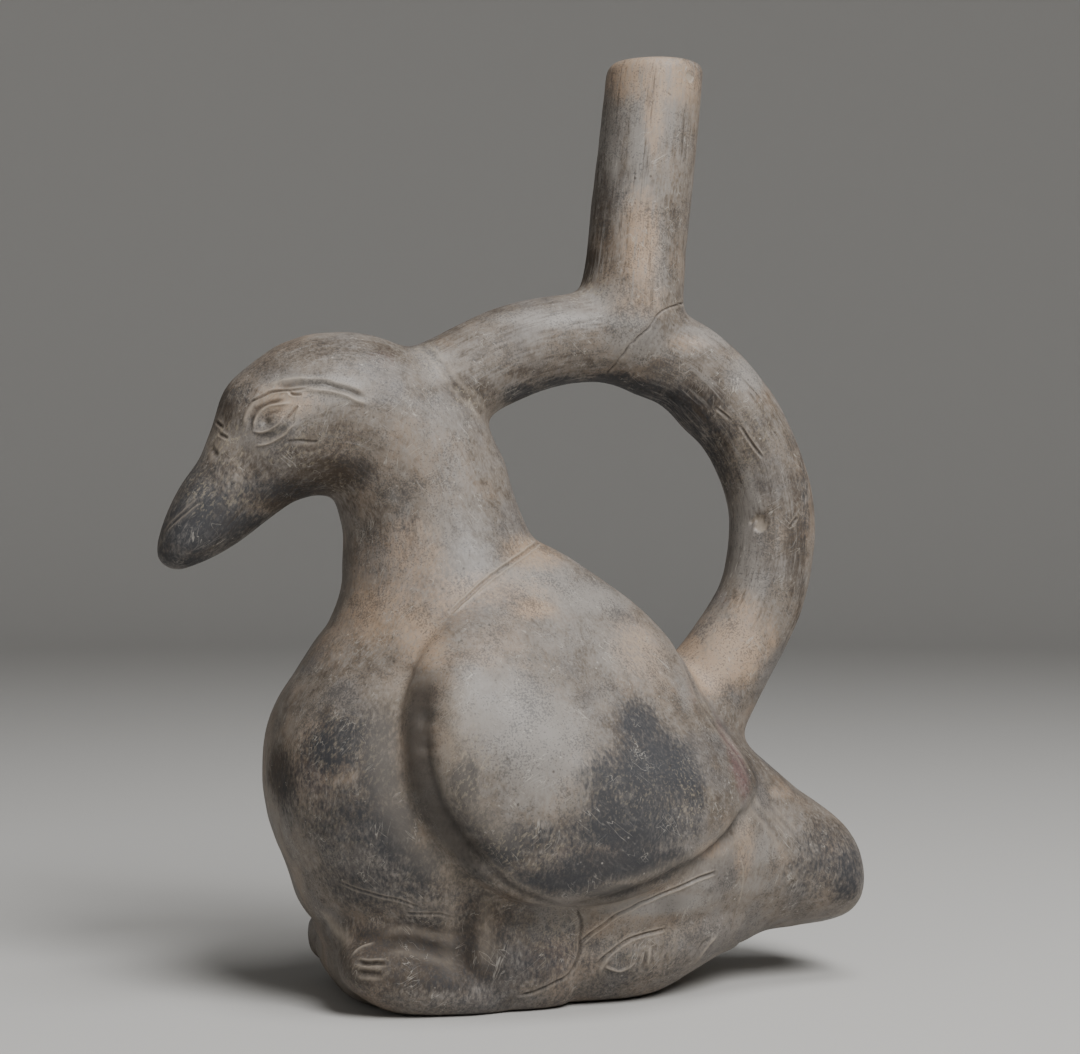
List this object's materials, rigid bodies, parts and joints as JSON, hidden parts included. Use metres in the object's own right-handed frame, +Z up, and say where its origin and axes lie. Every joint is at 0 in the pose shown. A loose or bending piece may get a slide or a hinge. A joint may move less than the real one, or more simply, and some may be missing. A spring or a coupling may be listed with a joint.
{
  "type": "stirrup spout vessel",
  "caption": "Hollow fired clay vessel in the shape of a resting duck, with a stirrup handle that carries liquid and a straight spout.",
  "frame": {"origin": "middle of the vessel's box, on the ground it stands on", "axes": "+Z up along the height, -X the way the duck looks, Y across it from wing to wing"},
  "size_m": [0.1648, 0.0926, 0.214],
  "materials": {
    "clay": "burnished, mottled grey-brown, slightly worn"
  },
  "bodies": {
    "root": {"duck_vessel": "clay"}
  },
  "joints": []
}
